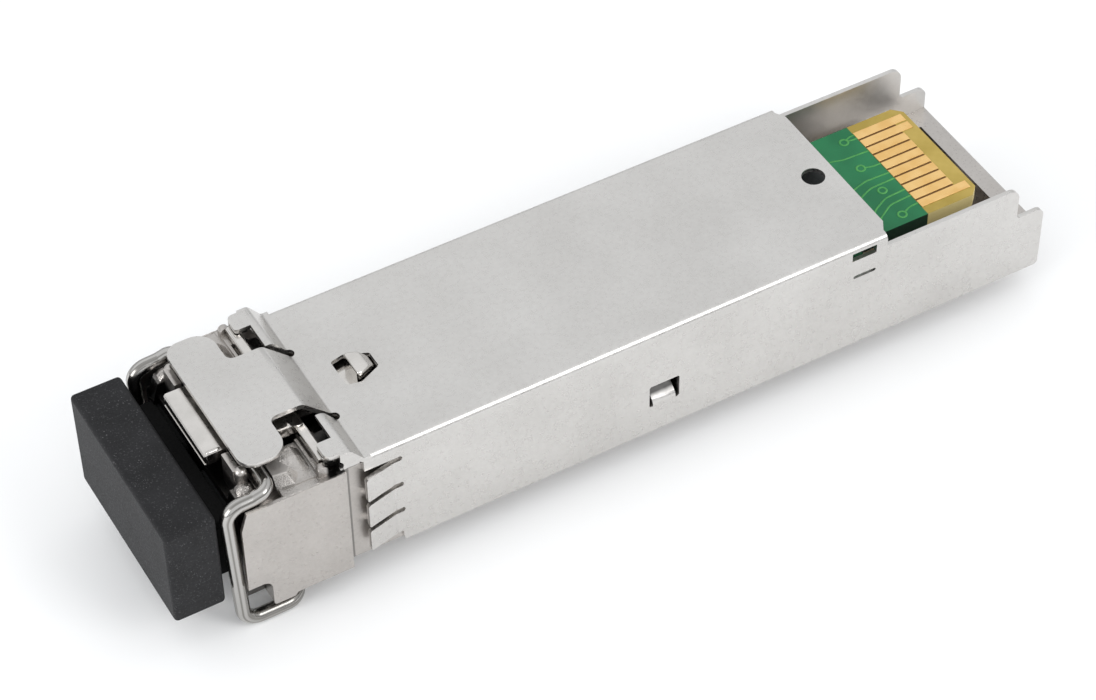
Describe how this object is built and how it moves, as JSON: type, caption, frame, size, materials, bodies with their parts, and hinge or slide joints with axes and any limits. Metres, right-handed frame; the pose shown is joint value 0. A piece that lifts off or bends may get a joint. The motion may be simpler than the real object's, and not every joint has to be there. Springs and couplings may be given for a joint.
{
  "type": "small form factor pluggable transceiver",
  "caption": "Pluggable fibre transceiver with a folded metal body, a card edge at the rear, a wire bail and rocking latch at the nose, and a rubber dust plug in its ports.",
  "frame": {"origin": "centre of the whole part's length and width, at the level of its lowest point, which is the bail's cross bar", "axes": "+X from the nose towards the card edge, +Y across the body, +Z towards the latch side, away from the flat label side"},
  "size_m": [0.0606, 0.0144, 0.0122],
  "materials": {
    "nickel_sheet": "satin nickel plated sheet",
    "plated_casting": "satin plated die casting",
    "bright_wire": "bright plated spring wire",
    "polished_metal": "bright plated",
    "black_rubber": "matte moulded rubber",
    "green_laminate": "green solder mask on laminate",
    "gold_plate": "gold plated",
    "black_package": "matte moulded plastic",
    "tan_ceramic": "matte ceramic",
    "dark_ceramic": "matte ceramic",
    "grey_pad": "soft gap filler",
    "barrel_steel": "turned steel",
    "white_ceramic": "polished ceramic",
    "can_metal": "gold plated can",
    "amber_film": "flexible film"
  },
  "bodies": {
    "module": {"shell": "nickel_sheet", "base_casting": "plated_casting", "circuit_board": "green_laminate", "edge_contacts": "gold_plate", "laser_driver": "black_package", "receiver_amplifier": "black_package", "controller_chip": "black_package", "memory_chip": "black_package", "capacitors": "tan_ceramic", "resistors": "dark_ceramic", "ferrite_beads": "dark_ceramic", "thermal_pad": "grey_pad", "transmitter_barrel": "barrel_steel", "receiver_barrel": "barrel_steel", "alignment_sleeves": "white_ceramic", "transmitter_can": "can_metal", "receiver_can": "can_metal", "transmitter_leads": "gold_plate", "receiver_leads": "gold_plate", "transmitter_flex": "amber_film", "receiver_flex": "amber_film", "shield_plate": "nickel_sheet", "barrel_clamp": "black_package"},
    "bail": {"bail": "bright_wire"},
    "latch_lever": {"latch_lever": "polished_metal"},
    "dust_plug": {"dust_plug": "black_rubber"}
  },
  "joints": [
    {"name": "bail_swing", "type": "hinge", "parent": "module", "child": "bail", "pos_m": [-0.02357, 0, 0.01078], "axis": [0, 1, 0], "range_deg": [0, 90]},
    {"name": "lever_rock", "type": "hinge", "parent": "module", "child": "latch_lever", "pos_m": [-0.01997, 0, 0.01085], "axis": [0, 1, 0], "range_deg": [0, 5.5]},
    {"name": "plug_slide", "type": "slide", "parent": "module", "child": "dust_plug", "axis": [-1, 0, 0], "range_m": [0, 0.0251]}
  ],
  "couplings": [
    {"joint": "bail_swing", "follows": "plug_slide", "rad_per_m": 62.581},
    {"joint": "lever_rock", "follows": "plug_slide", "rad_per_m": 3.8244}
  ]
}
